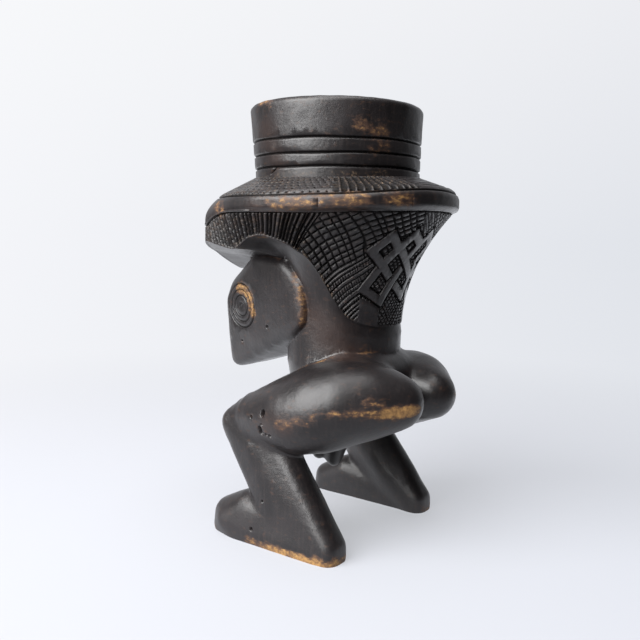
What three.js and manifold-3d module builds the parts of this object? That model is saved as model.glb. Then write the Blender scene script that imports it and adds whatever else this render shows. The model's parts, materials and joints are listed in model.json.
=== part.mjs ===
// Figural cup, carved from one block of hardwood: a squatting figure carries a cup on its head.
// Millimetres, +Z up. The floor is z = 0, the cup's axis is x = y = 0, and the figure faces -Y.
import * as THREE from 'three';
import { ConvexGeometry } from 'three/addons/geometries/ConvexGeometry.js';
import { mergeVertices } from 'three/addons/utils/BufferGeometryUtils.js';
import Module from 'manifold-3d';

const wasm = await Module();
wasm.setup();

// Cup
const RIM_HEIGHT = 230;
const RIM_RADIUS = 46.6;
const WAIST_RADIUS = 44.6; // the cup narrows a little towards the shoulder
const CUP_FOOT_HEIGHT = 192;
const WALL = 6;
const LIP_ROUNDING = 2.4;
const BOWL_FLOOR_HEIGHT = 146;
const BOWL_FLOOR_RADIUS = 30;
const RING_GROOVES = [210.7, 203.7, 197.3]; // heights of the three incised lines
const GROOVE_WIDTH = 1.7;
const GROOVE_DEPTH = 1.0;

// Head-dress: shoulder, plain band, and the hatched wall that hangs below the band
const BAND_TOP = 186.5;
const BAND_BOTTOM = 175.5;
const BAND_BACK_RADIUS = 66;
const BAND_FRONT_RADIUS = 70.8;
const BAND_FRONT_DROP = 6; // the brim leans down towards the figure's face
const BAND_STEP = 1.6; // behind, the hatched wall lies this far inside the band's edge
const TORSO_RADIUS = 36.6;
const FLARE_START = 110;
const FLARE_REACH = 27;
const FLARE_POWER = 2.2;
const HOOD_RADIUS = 72; // the wall hangs nearly straight down in front
const HOOD_FLATTENING = 2.8; // and is a little flatter over the face
const HOOD_CORNER = 50; // degrees from the front where the straight wall ends
const HOOD_END = 115; // degrees from the front where the plain flare begins

// Hairline, the lower border of the hatched wall. Each row is one direction, in degrees from
// the front: the border's height, then the smooth hollow below it, which ends at a core radius
// and height, and how round the hollow is (1 is a straight slope, 2 a quarter circle).
const HAIRLINE = [
  [0, 141, 26, 146, 1],
  [24, 152, 26, 146, 1],
  [50, 158.5, 28, 146, 1.2],
  [69, 154, 29, 143, 2],
  [77, 160, 30, 136, 2.2],
  [85, 162, 31, 127, 2],
  [96, 158.5, 32.5, 121, 1.7],
  [108, 150.5, 34.5, 118, 1.5],
  [122, 131.5, 36, 115, 1.2],
  [134, 119, 36.4, 113, 1],
  [180, 118, 36.6, 113, 1],
];
const BORDER_STEP = 1.2;
const WAIST_HEIGHT = 78;
const WAIST_FRONT_RADIUS = 23;
const WAIST_FRONT_SPREAD = 1.4;

// Plaited bands on the back, as the middle line of each band, in degrees from the front and
// height. They stand a little proud of the hatched ground.
const PLAIT = [
  [[162, 158], [156.5, 162.5], [146.5, 154.7], [163.4, 142.8]],
  [[159, 150.6], [172.5, 163.6], [179.5, 160.4]],
  [[179, 154], [188, 164], [195.3, 160.3]],
  [[169.5, 154.2], [187, 143.6]],
  [[191, 150.5], [203.5, 162.8], [213.5, 154.7], [197, 142.5]],
  [[153, 144], [145.5, 135.3], [161.5, 129], [173.5, 144.6]],
  [[175, 136.6], [187, 131.2], [193.5, 146.5]],
  [[207, 141.5], [213.5, 135.3], [200, 129.4], [196, 134.5]],
];
const PLAIT_WIDTH = 4;
const PLAIT_HEIGHT = 0.8;
const PLAIT_ROOT = 3; // depth to which a band reaches into the wall
const PLAIT_STEP = 6; // degrees between two points of a band

// Eyes: rings cut round a boss on each side of the head
const EYE_CENTRE = new THREE.Vector3(24.1, -47.2, 121.8);
const EYE_RINGS = [12, 8.6, 5.2];
const EYE_GROOVE = 0.9;

// Masses of the body. Each is the skin stretched over a few balls [x, y, z, radius], listed on
// the figure's left side only; the head's are mirrored and the limbs are made once per side.
const HEAD = [
  [13, -64, 124, 5], // brow
  [13, -64, 104, 5], // cheek
  [11, -60, 90, 4.5], // chin
  [13, -55, 136, 5], // forehead
  [26, -30, 148.5, 4.5], // crown
  [24, -35, 132, 4], // temple ridge, top
  [24, -35, 105, 4], // temple ridge, bottom
  [32, -11, 145, 3], // back edge, from the top down
  [33.5, 0, 135.5, 2.5],
  [34, 3, 126, 2.5],
  [34, 3, 116, 2.5],
  [31, -2, 108.5, 2.5],
  [13, -17, 102, 4], // jaw
];
const NOSE = [
  [0, -65.5, 128, 2],
  [0, -65, 112, 3.5],
  [3.5, -62.5, 108, 4],
  [0, -60, 134, 4],
  [0, -58, 104, 4],
];
const THIGH = [
  [44, -27, 62, 8.5],
  [44, -6, 66, 14.5],
  [43, 10, 70, 20.5],
  [35, 30, 78, 21.5],
  [22, 44, 80, 18.5],
  [17.5, 55, 79.5, 14.2],
];
const SHIN = [
  [46, -32.5, 62, 7],
  [44, -25, 66.5, 7],
  [46.5, -4, 55, 7],
  [44, 0.5, 52, 6.5],
  [47.5, 1, 22, 7],
  [45, 1, 22, 7],
  [49, 33, 7, 6.5],
  [44, 33, 7, 6.5],
  [49, -2, 6, 7],
];
const FOOT = [
  [46, -34, 8.5, 10.3],
  [50, -33, 7.5, 9],
  [46, -19, 16.5, 10.5],
  [49, -4, 15, 10.5],
  [48, 28, 6, 8],
  [46, 30, 5, 7],
];
const PELVIS = [
  [14, 0, 86, 13],
  [16, 26, 87, 14],
  [9, 38, 84, 13],
  [8, 14, 76, 10],
];
const WEDGE_TOP = 72;
const WEDGE_TIP = new THREE.Vector3(0, 12, 41);
const WEDGE_HALF_WIDTH = 8;
const WEDGE_DEPTH = 20;

// Mesh fineness
const ROUND_STEPS = 60;
const EYE_STEPS = 20;
const WALL_STEPS = 5;
const HOLLOW_STEPS = 5;
const BALL_STEPS = 8;
const SLIVER = 0.02; // faces thinner than this are merged away

const WOOD = new THREE.MeshStandardMaterial({ color: '#3a3334', roughness: 0.5, metalness: 0 });

const degrees = THREE.MathUtils.degToRad;
const lerp = THREE.MathUtils.lerp;

// The closed solid of a geometry, with its shared vertices merged.
function solid(geometry) {
  const plain = new THREE.BufferGeometry();
  plain.setAttribute('position', geometry.getAttribute('position'));
  plain.setIndex(geometry.getIndex());
  const merged = mergeVertices(plain, 1e-4);
  return new wasm.Manifold(new wasm.Mesh({
    numProp: 3,
    vertProperties: new Float32Array(merged.getAttribute('position').array),
    triVerts: new Uint32Array(merged.getIndex().array),
  }));
}

// A closed skin over rings of points, all with the same number of points, from the top ring to
// the bottom one, each running anticlockwise seen from above.
function loft(rings) {
  const count = rings[0].length;
  const points = rings.flat();
  const faces = [];
  for (let row = 0; row + 1 < rings.length; row += 1) {
    for (let i = 0; i < count; i += 1) {
      const next = (i + 1) % count;
      const top = row * count;
      const low = top + count;
      faces.push(top + i, low + i, low + next, top + i, low + next, top + next);
    }
  }
  const middle = (ring) => ring.reduce((sum, p) => sum.add(p), new THREE.Vector3()).divideScalar(count);
  const topMiddle = points.push(middle(rings[0])) - 1;
  const lowMiddle = points.push(middle(rings.at(-1))) - 1;
  const last = (rings.length - 1) * count;
  for (let i = 0; i < count; i += 1) {
    const next = (i + 1) % count;
    faces.push(topMiddle, i, next, lowMiddle, last + next, last + i);
  }
  const geometry = new THREE.BufferGeometry().setFromPoints(points);
  return geometry.setIndex(faces);
}

// The skin stretched over balls.
function skin(balls) {
  const points = balls.flatMap(([x, y, z, radius]) => {
    const ball = new THREE.SphereGeometry(radius, BALL_STEPS, BALL_STEPS / 2 + 1).translate(x, y, z);
    const place = ball.getAttribute('position');
    return Array.from({ length: place.count }, (_, i) => new THREE.Vector3().fromBufferAttribute(place, i));
  });
  return new ConvexGeometry(points);
}

const mirrored = (balls) => balls.map(([x, y, z, radius]) => [-x, y, z, radius]);

// A point at an angle from the front, positive towards the figure's left.
function around(angle, radius, z) {
  return new THREE.Vector3(radius * Math.sin(angle), -radius * Math.cos(angle), z);
}

// One value of the hairline table at an angle, eased between its rows.
function hairline(angle, column) {
  const turn = Math.abs(THREE.MathUtils.radToDeg(angle));
  const row = Math.max(HAIRLINE.findIndex(([a]) => a >= turn), 1);
  const [from, to] = [HAIRLINE[row - 1], HAIRLINE[row]];
  return lerp(from[column], to[column], (turn - from[0]) / (to[0] - from[0]));
}

// 1 over the face, falling to 0 where the back's plain flare begins.
function frontness(angle) {
  const turn = Math.abs(THREE.MathUtils.radToDeg(angle));
  const t = THREE.MathUtils.clamp((turn - HOOD_CORNER) / (HOOD_END - HOOD_CORNER), 0, 1);
  return (1 - t) ** 1.5;
}

// How far the hood is drawn in over the face.
function flattening(angle) {
  return HOOD_FLATTENING * Math.max(Math.cos(1.8 * angle), 0);
}

// Radius of the hatched wall at an angle and height.
function wall(angle, z) {
  const rise = Math.max(z - FLARE_START, 0) / (BAND_BOTTOM - FLARE_START);
  const flare = TORSO_RADIUS + FLARE_REACH * rise ** FLARE_POWER;
  return lerp(flare, HOOD_RADIUS - flattening(angle), frontness(angle));
}

// The profile from the cup's foot down to the waist in one direction, as [radius, height] pairs.
function headdressProfile(angle) {
  const front = frontness(angle);
  const drop = BAND_FRONT_DROP * front;
  const band = lerp(BAND_BACK_RADIUS, BAND_FRONT_RADIUS - flattening(angle), front);
  const profile = [
    [WAIST_RADIUS - 8, CUP_FOOT_HEIGHT + 2.7],
    [band - 9, BAND_TOP + 3.2 - drop],
    [band - 3.4, BAND_TOP + 0.3 - drop],
    [band - 0.8, BAND_TOP - 2.4 - drop],
    [band, BAND_TOP - 5 - drop],
    [band - 0.5, BAND_BOTTOM + 0.6 - 1.4 * drop],
    [band - BAND_STEP * (1 - front), BAND_BOTTOM - 1.4 * drop],
  ];
  const wallTop = BAND_BOTTOM - 1.4 * drop - 1.5;
  const border = hairline(angle, 1);
  for (let i = 0; i <= WALL_STEPS; i += 1) {
    const z = lerp(wallTop, border, i / WALL_STEPS);
    profile.push([wall(angle, z), z]);
  }
  const [core, coreHeight, roundness] = [2, 3, 4].map((column) => hairline(angle, column));
  const edge = wall(angle, border) - BORDER_STEP;
  for (let i = 0; i <= HOLLOW_STEPS; i += 1) {
    const turn = (i / HOLLOW_STEPS) * Math.PI / 2;
    const inward = Math.sin(turn) ** (2 / roundness);
    const height = Math.cos(turn) ** (2 / roundness);
    profile.push([lerp(edge, core, inward), lerp(coreHeight, border, height)]);
  }
  const waist = lerp(TORSO_RADIUS, WAIST_FRONT_RADIUS, ((1 + Math.cos(angle)) / 2) ** WAIST_FRONT_SPREAD);
  profile.push([waist, 108], [waist, 94], [waist - 3, WAIST_HEIGHT]);
  return profile;
}

function headdress() {
  const angles = Array.from({ length: ROUND_STEPS }, (_, i) => (i / ROUND_STEPS) * 2 * Math.PI - Math.PI);
  const profiles = angles.map((angle) => headdressProfile(angle));
  const rings = profiles[0].map((_, row) => angles.map((angle, i) => around(angle, ...profiles[i][row])));
  return solid(loft(rings));
}

// One plaited band: a strip with four-point sections that follows the wall.
function plaitBand(corners) {
  const line = [corners[0]];
  for (let i = 1; i < corners.length; i += 1) {
    const [from, to] = [corners[i - 1], corners[i]];
    const parts = Math.ceil(Math.abs(to[0] - from[0]) / PLAIT_STEP);
    for (let k = 1; k <= parts; k += 1) {
      line.push([lerp(from[0], to[0], k / parts), lerp(from[1], to[1], k / parts)]);
    }
  }
  const flat = line.map(([turn, z]) => new THREE.Vector2(degrees(turn) * wall(degrees(turn), z), z));
  const along = (i, k) => flat[k].clone().sub(flat[i]).normalize();
  const rings = line.map(([turn, z], i) => {
    const before = along(Math.max(i - 1, 0), Math.max(i, 1));
    const after = along(Math.min(i, line.length - 2), Math.min(i + 1, line.length - 1));
    const across = before.clone().add(after).normalize().rotateAround(new THREE.Vector2(), Math.PI / 2);
    const reach = PLAIT_WIDTH / 2 / Math.abs(across.dot(before.rotateAround(new THREE.Vector2(), Math.PI / 2)));
    const section = [[1, PLAIT_HEIGHT], [-1, PLAIT_HEIGHT], [-1, -PLAIT_ROOT], [1, -PLAIT_ROOT]];
    return section.map(([side, lift]) => {
      const shift = across.clone().multiplyScalar(side * reach);
      const height = z + shift.y;
      const angle = degrees(turn) + shift.x / wall(degrees(turn), z);
      return around(angle, wall(angle, height) + lift, height);
    });
  });
  const pieces = rings.slice(1).map((ring, i) => solid(new ConvexGeometry([...rings[i], ...ring])));
  return pieces.reduce((sum, piece) => sum.add(piece));
}

// A body turned about the axis, from [radius, height] pairs that run upwards. It is set half a
// step round, so that its edges don't lie on those of the head-dress.
function turned(pairs) {
  const profile = pairs.map(([radius, z]) => new THREE.Vector2(radius, z));
  return solid(new THREE.LatheGeometry(profile, ROUND_STEPS).rotateX(Math.PI / 2).rotateZ(Math.PI / ROUND_STEPS));
}

function cupOutside() {
  const side = (z) => lerp(WAIST_RADIUS, RIM_RADIUS, (z - CUP_FOOT_HEIGHT) / (RIM_HEIGHT - CUP_FOOT_HEIGHT));
  const profile = [[0, CUP_FOOT_HEIGHT - 6], [WAIST_RADIUS, CUP_FOOT_HEIGHT - 6]];
  for (const z of RING_GROOVES.toReversed()) {
    profile.push([side(z), z - GROOVE_WIDTH / 2], [side(z) - GROOVE_DEPTH, z], [side(z), z + GROOVE_WIDTH / 2]);
  }
  for (let i = 0; i <= 3; i += 1) {
    const turn = (i / 3) * Math.PI / 2;
    profile.push([
      RIM_RADIUS - LIP_ROUNDING * (1 - Math.cos(turn)),
      RIM_HEIGHT - LIP_ROUNDING * (1 - Math.sin(turn)),
    ]);
  }
  profile.push([0, RIM_HEIGHT]);
  return turned(profile);
}

function bowl() {
  return turned([
    [0, BOWL_FLOOR_HEIGHT],
    [BOWL_FLOOR_RADIUS * 0.6, BOWL_FLOOR_HEIGHT + 1.5],
    [BOWL_FLOOR_RADIUS, BOWL_FLOOR_HEIGHT + 9],
    [RIM_RADIUS - WALL - 4, RIM_HEIGHT - 44],
    [RIM_RADIUS - WALL - 0.6, RIM_HEIGHT - 24],
    [RIM_RADIUS - WALL, RIM_HEIGHT - 3],
    [RIM_RADIUS - WALL + 2, RIM_HEIGHT + 1],
    [0, RIM_HEIGHT + 1],
  ]);
}

// The rings of one eye, to be cut from the side of the head.
function eyeRings(side) {
  const faceTurn = degrees(18);
  return EYE_RINGS.map((radius) => {
    const ring = new THREE.TorusGeometry(radius, EYE_GROOVE, 4, EYE_STEPS);
    ring.rotateY(Math.PI / 2).rotateZ(-faceTurn * side);
    ring.translate(EYE_CENTRE.x * side, EYE_CENTRE.y, EYE_CENTRE.z);
    return solid(ring);
  });
}

function head() {
  let carved = solid(skin([...HEAD, ...mirrored(HEAD)])).add(solid(skin([...NOSE, ...mirrored(NOSE)])));
  for (const side of [-1, 1]) {
    for (const ring of eyeRings(side)) {
      carved = carved.subtract(ring);
    }
  }
  return carved;
}

function leg(side) {
  const own = side > 0 ? (balls) => balls : mirrored;
  return [THIGH, SHIN, FOOT].map((balls) => solid(skin(own(balls)))).reduce((sum, body) => sum.add(body));
}

function pelvis() {
  return solid(skin([...PELVIS, ...mirrored(PELVIS)]));
}

function wedge() {
  const half = new THREE.Vector3(WEDGE_HALF_WIDTH, 0, 0);
  const top = [-1, 1].flatMap((side) => [-WEDGE_DEPTH, 6].map(
    (y) => new THREE.Vector3(WEDGE_TIP.x, WEDGE_TIP.y + y, WEDGE_TOP).addScaledVector(half, side)));
  const tip = [-1, 1].map((side) => WEDGE_TIP.clone().addScaledVector(half, 0.25 * side));
  return solid(new ConvexGeometry([...top, ...tip, WEDGE_TIP.clone().add(new THREE.Vector3(0, -9, 5))]));
}

// Everything below the floor plane is cut away, which gives the feet their flat soles.
function floorCut() {
  return solid(new THREE.BoxGeometry(300, 300, 60).translate(0, 0, -30));
}

function carve() {
  const plait = PLAIT.map((corners) => plaitBand(corners));
  const masses = [headdress(), ...plait, cupOutside(), head(), leg(1), leg(-1), pelvis(), wedge()];
  const figure = masses.reduce((sum, mass) => sum.add(mass)).subtract(bowl()).subtract(floorCut());
  const mesh = figure.simplify(SLIVER).getMesh();
  const geometry = new THREE.BufferGeometry();
  geometry.setAttribute('position', new THREE.BufferAttribute(new Float32Array(mesh.vertProperties), 3));
  geometry.setIndex(new THREE.BufferAttribute(new Uint32Array(mesh.triVerts), 1));
  return geometry;
}

const figuralCup = new THREE.Mesh(carve(), WOOD);
figuralCup.name = 'figural_cup';

const model = new THREE.Group();
model.add(figuralCup);

export default model;
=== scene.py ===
# %% [markdown]
# # A carved figural cup
#
# The real object is one block of dark hardwood, about 23 cm tall. A squatting figure with ring
# eyes carries a round cup on its head, and a wide head-dress with cut patterns hangs from the cup.
# This lesson builds it the way a carver sees it: first the big masses, then the pattern, then the
# small marks of the knife, of insects and of long use.
#
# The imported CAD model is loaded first. It fixes the size and the place of everything.

# %% The frame
import json
import math

import bmesh
import bpy
import numpy as np
from mathutils import Matrix, Vector
from mathutils.kdtree import KDTree

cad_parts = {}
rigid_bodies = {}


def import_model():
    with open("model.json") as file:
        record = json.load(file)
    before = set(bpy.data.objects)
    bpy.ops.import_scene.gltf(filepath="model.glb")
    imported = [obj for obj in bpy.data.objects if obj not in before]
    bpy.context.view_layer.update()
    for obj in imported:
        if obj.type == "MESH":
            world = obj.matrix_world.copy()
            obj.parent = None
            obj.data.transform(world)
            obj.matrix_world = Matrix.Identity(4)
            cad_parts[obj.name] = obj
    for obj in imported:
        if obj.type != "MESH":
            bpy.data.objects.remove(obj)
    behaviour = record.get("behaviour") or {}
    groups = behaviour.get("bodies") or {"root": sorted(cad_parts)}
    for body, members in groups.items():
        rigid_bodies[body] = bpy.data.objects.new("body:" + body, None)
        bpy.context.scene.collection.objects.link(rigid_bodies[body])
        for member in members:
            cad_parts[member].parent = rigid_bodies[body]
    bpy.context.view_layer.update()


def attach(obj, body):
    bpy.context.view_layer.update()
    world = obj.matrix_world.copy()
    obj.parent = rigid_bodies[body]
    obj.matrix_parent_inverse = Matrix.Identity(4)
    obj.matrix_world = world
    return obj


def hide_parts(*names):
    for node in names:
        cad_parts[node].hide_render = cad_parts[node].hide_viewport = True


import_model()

# %% [markdown]
# All sizes below are in millimetres, as on a drawing, and Blender wants metres. One constant turns
# one into the other. Directions round the cup are degrees from the front, positive towards the
# figure's left hand. Everything is deselected first, because loading leaves the model selected.

# %% Millimetres and directions
MM = 0.001


def nothing_selected():
    """Object mode, with nothing selected."""
    if bpy.context.object and bpy.context.object.mode != "OBJECT":
        bpy.ops.object.mode_set(mode="OBJECT")
    bpy.ops.object.select_all(action="DESELECT")


def only(piece):
    """Select one piece and make it the active one."""
    nothing_selected()
    piece.select_set(True)
    bpy.context.view_layer.objects.active = piece
    return piece


def modify(piece, kind, **settings):
    """Give the active piece a modifier with these settings, and apply it."""
    modifier = piece.modifiers.new(kind.lower(), kind)
    for name, value in settings.items():
        setattr(modifier, name, value)
    bpy.ops.object.modifier_apply(modifier=modifier.name)


def rows_of(things, name):
    """Three numbers for each of a mesh's points, faces or normals, one row for each."""
    flat = np.empty(len(things) * 3, np.float32)
    things.foreach_get(name, flat)
    return flat.reshape(-1, 3).astype(float)


def points_of(piece):
    """The piece's points in millimetres, one row for each."""
    return rows_of(piece.data.vertices, "co") / MM


def move_points(piece, points):
    """Put the piece's points at new places, given in millimetres."""
    piece.data.vertices.foreach_set("co", (points * MM).astype(np.float32).ravel())
    piece.data.update()


def waves(points, length, seed, count=14):
    """Smooth bumps between -1 and 1, about as long as length: plane waves in random directions."""
    draw = np.random.default_rng(seed)
    heading = draw.normal(size=(count, 3))
    how_fast = 2 * np.pi / length * draw.uniform(0.7, 1.3, count)
    heading *= (how_fast / np.linalg.norm(heading, axis=1))[:, None]
    start = draw.uniform(0, 2 * np.pi, count)
    return sum(np.sin(points @ h + p) for h, p in zip(heading, start)) / math.sqrt(count)


def smoothstep(low, high, value):
    """0 below low, 1 above high, and a smooth change between them."""
    t = np.clip((value - low) / (high - low), 0, 1)
    return t * t * (3 - 2 * t)


nothing_selected()
print("millimetres in a metre:", round(1 / MM))

# %% [markdown]
# ## The camera
#
# The photograph was taken from behind the figure's left shoulder, a little above the middle of the
# head-dress, with a short telephoto lens. The place and angles were found by matching edges of the
# CAD model with edges in the photograph.

# %% The camera
CAMERA_PLACE = (347.0, 241.8, 162.0)
CAMERA_TURN = 124.87 + 1.11  # degrees round the upright axis, with a small swing to the side
CAMERA_DIP = 6.32
CAMERA_ROLL = 1.10
LENS = 42.77

turn, dip, roll = (math.radians(a) for a in (CAMERA_TURN, CAMERA_DIP, CAMERA_ROLL))
ahead = Vector((-math.sin(turn) * math.cos(dip), math.cos(turn) * math.cos(dip), -math.sin(dip)))
level_right = ahead.cross(Vector((0, 0, 1))).normalized()
level_up = level_right.cross(ahead)
camera_right = level_right * math.cos(roll) + level_up * math.sin(roll)
camera_up = level_up * math.cos(roll) - level_right * math.sin(roll)

camera = bpy.data.objects.new("camera", bpy.data.cameras.new("camera"))
camera.data.lens = LENS
camera.data.sensor_width = 36.0
camera.data.clip_start = 0.01
axes = Matrix((camera_right, camera_up, -ahead)).transposed()
camera.matrix_world = Matrix.Translation(Vector(CAMERA_PLACE) * MM) @ axes.to_4x4()
bpy.context.scene.collection.objects.link(camera)
bpy.context.scene.camera = camera
print("camera looks along", [round(v, 3) for v in ahead])

# %% [markdown]
# ## The masses of the body
#
# A carver roughs out head, thighs, shins and feet as simple blocks and rounds them. The quickest
# way to the same forms is a skin stretched over balls: the balls are the knuckles of the form, and
# the convex hull lies tight over them. The CAD model is built from balls in the same way. Each ball
# is a UV sphere added in edit mode, and the hull operator wraps them all.

# %% Balls and skins
def skin(name, balls):
    """A new piece: the skin stretched over balls, each (x, y, z, radius)."""
    nothing_selected()
    x, y, z, radius = balls[0]
    bpy.ops.mesh.primitive_uv_sphere_add(segments=28, ring_count=14, radius=radius * MM)
    piece = bpy.context.object
    piece.name = name
    bpy.ops.object.mode_set(mode="EDIT")
    bpy.ops.transform.translate(value=(x * MM, y * MM, z * MM))
    for x, y, z, radius in balls[1:]:
        bpy.ops.mesh.primitive_uv_sphere_add(
            segments=28, ring_count=14, radius=radius * MM, location=(x * MM, y * MM, z * MM))
    bpy.ops.mesh.select_all(action="SELECT")
    bpy.ops.mesh.convex_hull(use_existing_faces=False)
    bpy.ops.object.mode_set(mode="OBJECT")
    return piece


def other_side(balls):
    """The same balls on the figure's right."""
    return [(-x, y, z, radius) for x, y, z, radius in balls]


# %% The head
HEAD = [
    (15, -58, 123.5, 7), (13.5, -59, 104, 6.2), (11, -60, 89.5, 5.5), (14, -56, 131.5, 6.8),
    (23.5, -31, 145.5, 8.3), (20.5, -36, 133, 7.6), (18.5, -36, 105, 7),
    (32, -10, 145.5, 4.2), (33, 0.5, 136.5, 4), (33, 2, 126, 4), (33, 1.5, 118, 4),
    (29, -6, 111, 4), (12.5, -17, 102, 5),
]
NOSE = [(0, -65.5, 128, 2), (0, -65, 112, 3.5), (3.5, -62.5, 108, 4), (0, -60, 134, 4), (0, -58, 104, 4)]

masses = [skin("head", HEAD + other_side(HEAD)), skin("nose", NOSE + other_side(NOSE))]
print("corners of the head's skin:", len(masses[0].data.vertices))

# %% The legs and the seat
THIGH = [
    (44, -26.2, 64.3, 9.6), (44, -17, 67, 12.6), (44, -6, 67.7, 15.4), (43.5, 2, 69.2, 18.2),
    (43, 10, 70.8, 20.5), (40, 20, 74, 22.2), (35, 30, 78, 21.8), (29, 38, 79.3, 20.5),
    (22, 44, 79.5, 17.8), (19, 52.5, 79, 14.4), (32, 12, 83.5, 13),
]
SHIN = [
    (45.5, -31, 61.5, 8.8), (44, -24, 65.5, 8.5), (46.5, -4, 55, 7.5), (44, 0.5, 52, 7),
    (44.5, -13, 50, 12), (44.5, 3.5, 36, 11), (44.5, 15, 20, 11),
    (47.5, 6.5, 22, 7), (45, 6.5, 22, 7), (49, 8, 6, 7), (49, 8, 1, 7),
    (49, 33, 7, 6.5), (44, 33, 7, 6.5), (49, 33, 1, 6.5), (44, 33, 1, 6.5),
]
FOOT = [
    (46, -34.9, 9.8, 8.8), (46, -37.6, 2.6, 7.4), (50, -31, 9, 8), (49, -24, 1, 7),
    (46, -19, 16, 10.5), (46.5, -4, 14, 9.8), (48, 28, 6, 8), (48, 28, 1, 8), (46, 30, 1, 7),
]
PELVIS = [(14, 0, 88, 13), (21, 21, 90, 14.5), (11, 31, 90, 12.6), (8, 14, 76, 10)]
WEDGE_BACK = [(5, 14, 72, 4), (3.5, 2.6, 50, 3.8), (1.5, 2.0, 35.4, 3.4), (1.2, -0.5, 37, 3.4)]
WEDGE_FRONT = [(5, -6, 70, 4), (3, -9, 50, 4.4), (2, -7.5, 39, 4.4)]
# The carver's right side is a little slimmer than the left one: what is added to each mass there.
SLIMMER = {
    "thigh": (0, -0.6, -1.6, -0.5), "shin": (0, -1.8, 0, -0.2), "foot": (0, 0.8, -1.8, -0.5),
    "pelvis": (0, 0, -1, -0.3),
}


def right_side(name, balls):
    """The balls of one mass on the figure's right."""
    return other_side([tuple(np.add(ball, SLIMMER[name])) for ball in balls])


for name, balls in (("thigh", THIGH), ("shin", SHIN), ("foot", FOOT)):
    masses.append(skin(name + "_left", balls))
    masses.append(skin(name + "_right", right_side(name, balls)))
masses.append(skin("pelvis", PELVIS + right_side("pelvis", PELVIS)))
for name, balls in (("wedge_back", WEDGE_BACK), ("wedge_front", WEDGE_FRONT)):
    masses.append(skin(name, balls + other_side(balls)))
print("masses:", [m.name for m in masses])

# %% [markdown]
# The masses overlap. Joining them and remeshing with small voxels melts them into one skin with no
# inner walls, and a little smoothing gives every inner corner the small radius a knife leaves.

# %% One body
VOXEL = 0.85
SMOOTHING = 22  # rounds everywhere
ROUNDING = 110  # more rounds on the thighs, the seat and the knees
CEILING = ((0, 18, 30, 34), (143, 144.5, 152, 200))  # radius, and how high the body may reach there

nothing_selected()
for mass in masses:
    mass.select_set(True)
bpy.context.view_layer.objects.active = masses[0]
bpy.ops.object.join()
body = bpy.context.object
body.name = "body"
bpy.ops.object.transform_apply(location=True, rotation=True, scale=True)

modify(body, "REMESH", mode="VOXEL", voxel_size=VOXEL * MM)
modify(body, "SMOOTH", factor=0.5, iterations=SMOOTHING)

# The thighs, the seat and the knees are rounder still: they are smoothed once more on their own.
points = points_of(body)
x, y, z = np.abs(points[:, 0]), points[:, 1], points[:, 2]
round_parts = smoothstep(48, 60, z) * smoothstep(106, 98, z) * smoothstep(-50, -12, y)
round_parts *= np.maximum(smoothstep(12, 22, x), smoothstep(16, 30, y))
group = body.vertex_groups.new(name="round_parts")
for step in range(1, 6):
    chosen = np.flatnonzero((round_parts > (step - 1) / 5 + 0.02) & (round_parts <= step / 5))
    group.add(chosen.tolist(), step / 5, "REPLACE")
modify(body, "SMOOTH", factor=0.5, iterations=ROUNDING, vertex_group=group.name)

# The top of the head stays under the floor of the cup, so it does not show inside.
points = points_of(body)
from_axis = np.hypot(points[:, 0], points[:, 1])
points[:, 2] = np.minimum(points[:, 2], np.interp(from_axis, *CEILING))
move_points(body, points)
print("body:", len(body.data.polygons), "faces")

# %% [markdown]
# ## Eyes and insect holes
#
# The eyes are rings cut round a boss on each side of the head, and beetles have left a few round
# holes. Such marks need smaller faces than the smooth wood around them, so the faces near each
# mark are selected by their distance and subdivided, and then the points are pushed inwards.

# %% Marks in the body
EYE_CENTRE = np.array([24.1, -47.4, 121.8])
EYE_NORMAL = np.array([0.974, -0.227, 0.0])
EYE_RINGS = [(12.6, 1.8, 0.9), (9.2, 1.5, 0.8), (5.9, 1.4, 0.8), (1.4, 2.6, 0.5)]  # radius, width, depth
HOLES = [  # place, radius, depth
    ((58.7, 0.3, 73.3), 1.5, 3.2), ((58.5, 0.1, 71.9), 1.3, 3.0), ((57.6, -2.2, 63.0), 1.5, 3.2),
    ((57.5, -2.3, 65.2), 1.4, 3.2), ((56.5, -9.0, 69.0), 0.95, 2.2), ((58.4, 1.6, 62.4), 0.9, 1.6),
    ((59.0, 4.2, 62.0), 1.0, 1.8), ((58.0, -0.6, 67.4), 0.7, 1.4),
    ((58.0, -10.9, 8.7), 0.9, 2.0), ((54.7, -4.0, 24.7), 0.9, 1.6), ((30.5, -24.6, 111.3), 1.1, 2.2),
    ((22.0, -50.2, 100.8), 0.9, 1.6),
]


def subdivide_near(piece, places, reach, times):
    """Halve the faces whose middles lie within reach of any of the places."""
    for _ in range(times):
        only(piece)
        faces = piece.data.polygons
        middles = rows_of(faces, "center") / MM
        near = np.zeros(len(faces), bool)
        for place, limit in zip(places, reach):
            near |= np.linalg.norm(middles - np.array(place), axis=1) < limit
        bpy.ops.object.mode_set(mode="EDIT")
        bpy.ops.mesh.select_mode(type="FACE")
        bpy.ops.mesh.select_all(action="DESELECT")
        bpy.ops.object.mode_set(mode="OBJECT")
        faces.foreach_set("select", near)
        bpy.ops.object.mode_set(mode="EDIT")
        bpy.ops.mesh.subdivide(number_cuts=1)
        bpy.ops.object.mode_set(mode="OBJECT")


MIRROR = np.array([-1, 1, 1])
SLITS = [  # from, to, half width, depth
    ((43.6, -12.0, 192.6), (44.3, -7.5, 195.6), 0.75, 1.2),
    ((58.8, 30.0, 174.5), (59.0, 30.0, 179.5), 0.35, 0.35),
    ((24.7, 61.2, 175.5), (24.7, 61.2, 179.5), 0.45, 0.7),
]


def distance_to(points, start, end):
    """How far each point is from the straight line between two places."""
    start, end = np.array(start, float), np.array(end, float)
    run = end - start
    t = np.clip((points - start) @ run / max(run @ run, 1e-9), 0, 1)
    return np.linalg.norm(points - start - t[:, None] * run, axis=1)


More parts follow.
